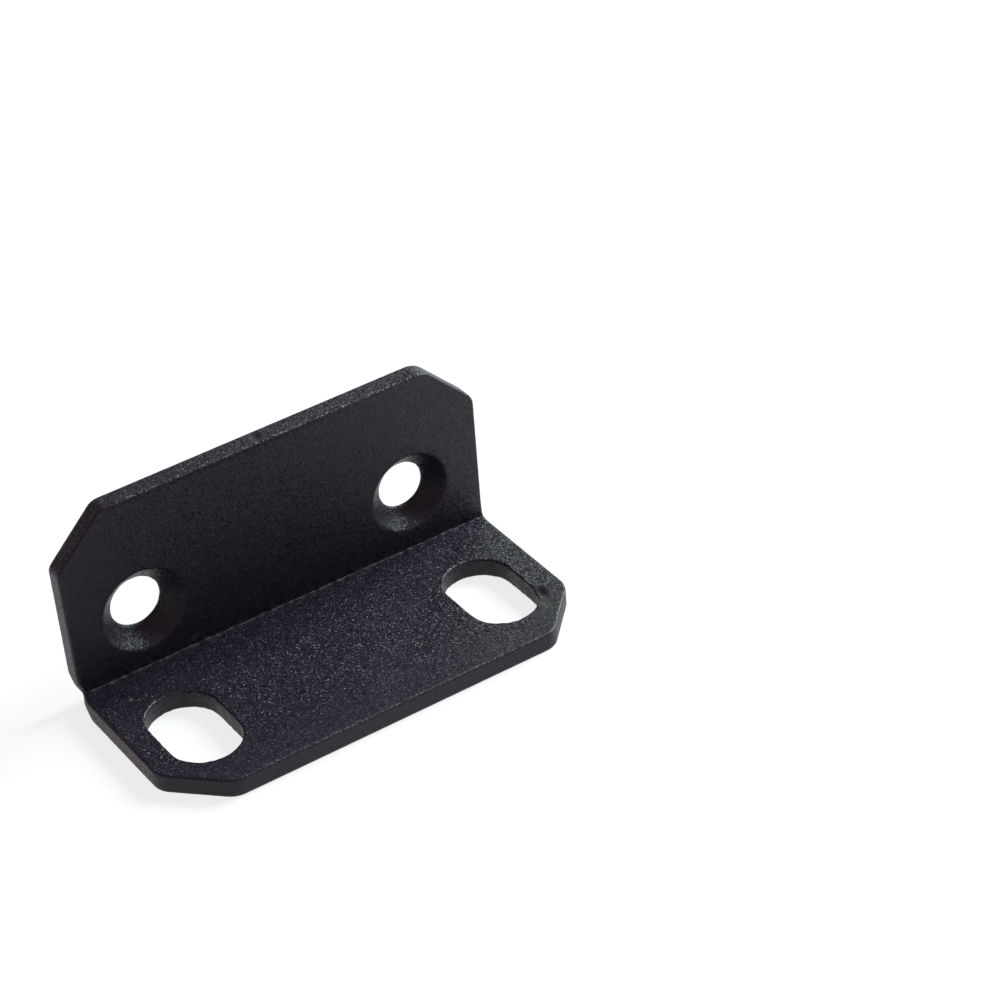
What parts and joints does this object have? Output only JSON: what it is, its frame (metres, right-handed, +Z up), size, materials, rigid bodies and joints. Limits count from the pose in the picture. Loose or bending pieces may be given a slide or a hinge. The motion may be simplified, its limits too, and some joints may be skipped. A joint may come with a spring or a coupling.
{
  "type": "rack mount ear bracket",
  "caption": "Folded sheet-steel L-bracket with clipped corners, countersunk screw holes in the upright leg and rack slots through the flange; fixes a device's side to a rack post.",
  "frame": {"origin": "middle of the bounding box's base, on the surface that the flange lies on", "axes": "+X along the fold, the rack's vertical; +Y out of the upright leg's outer face, towards the device; +Z up the leg, away from the flange"},
  "size_m": [0.044, 0.0212, 0.0205],
  "materials": {
    "black_powder_coat": "fine-textured black powder coat"
  },
  "bodies": {
    "root": {"ear_bracket": "black_powder_coat"}
  },
  "joints": []
}
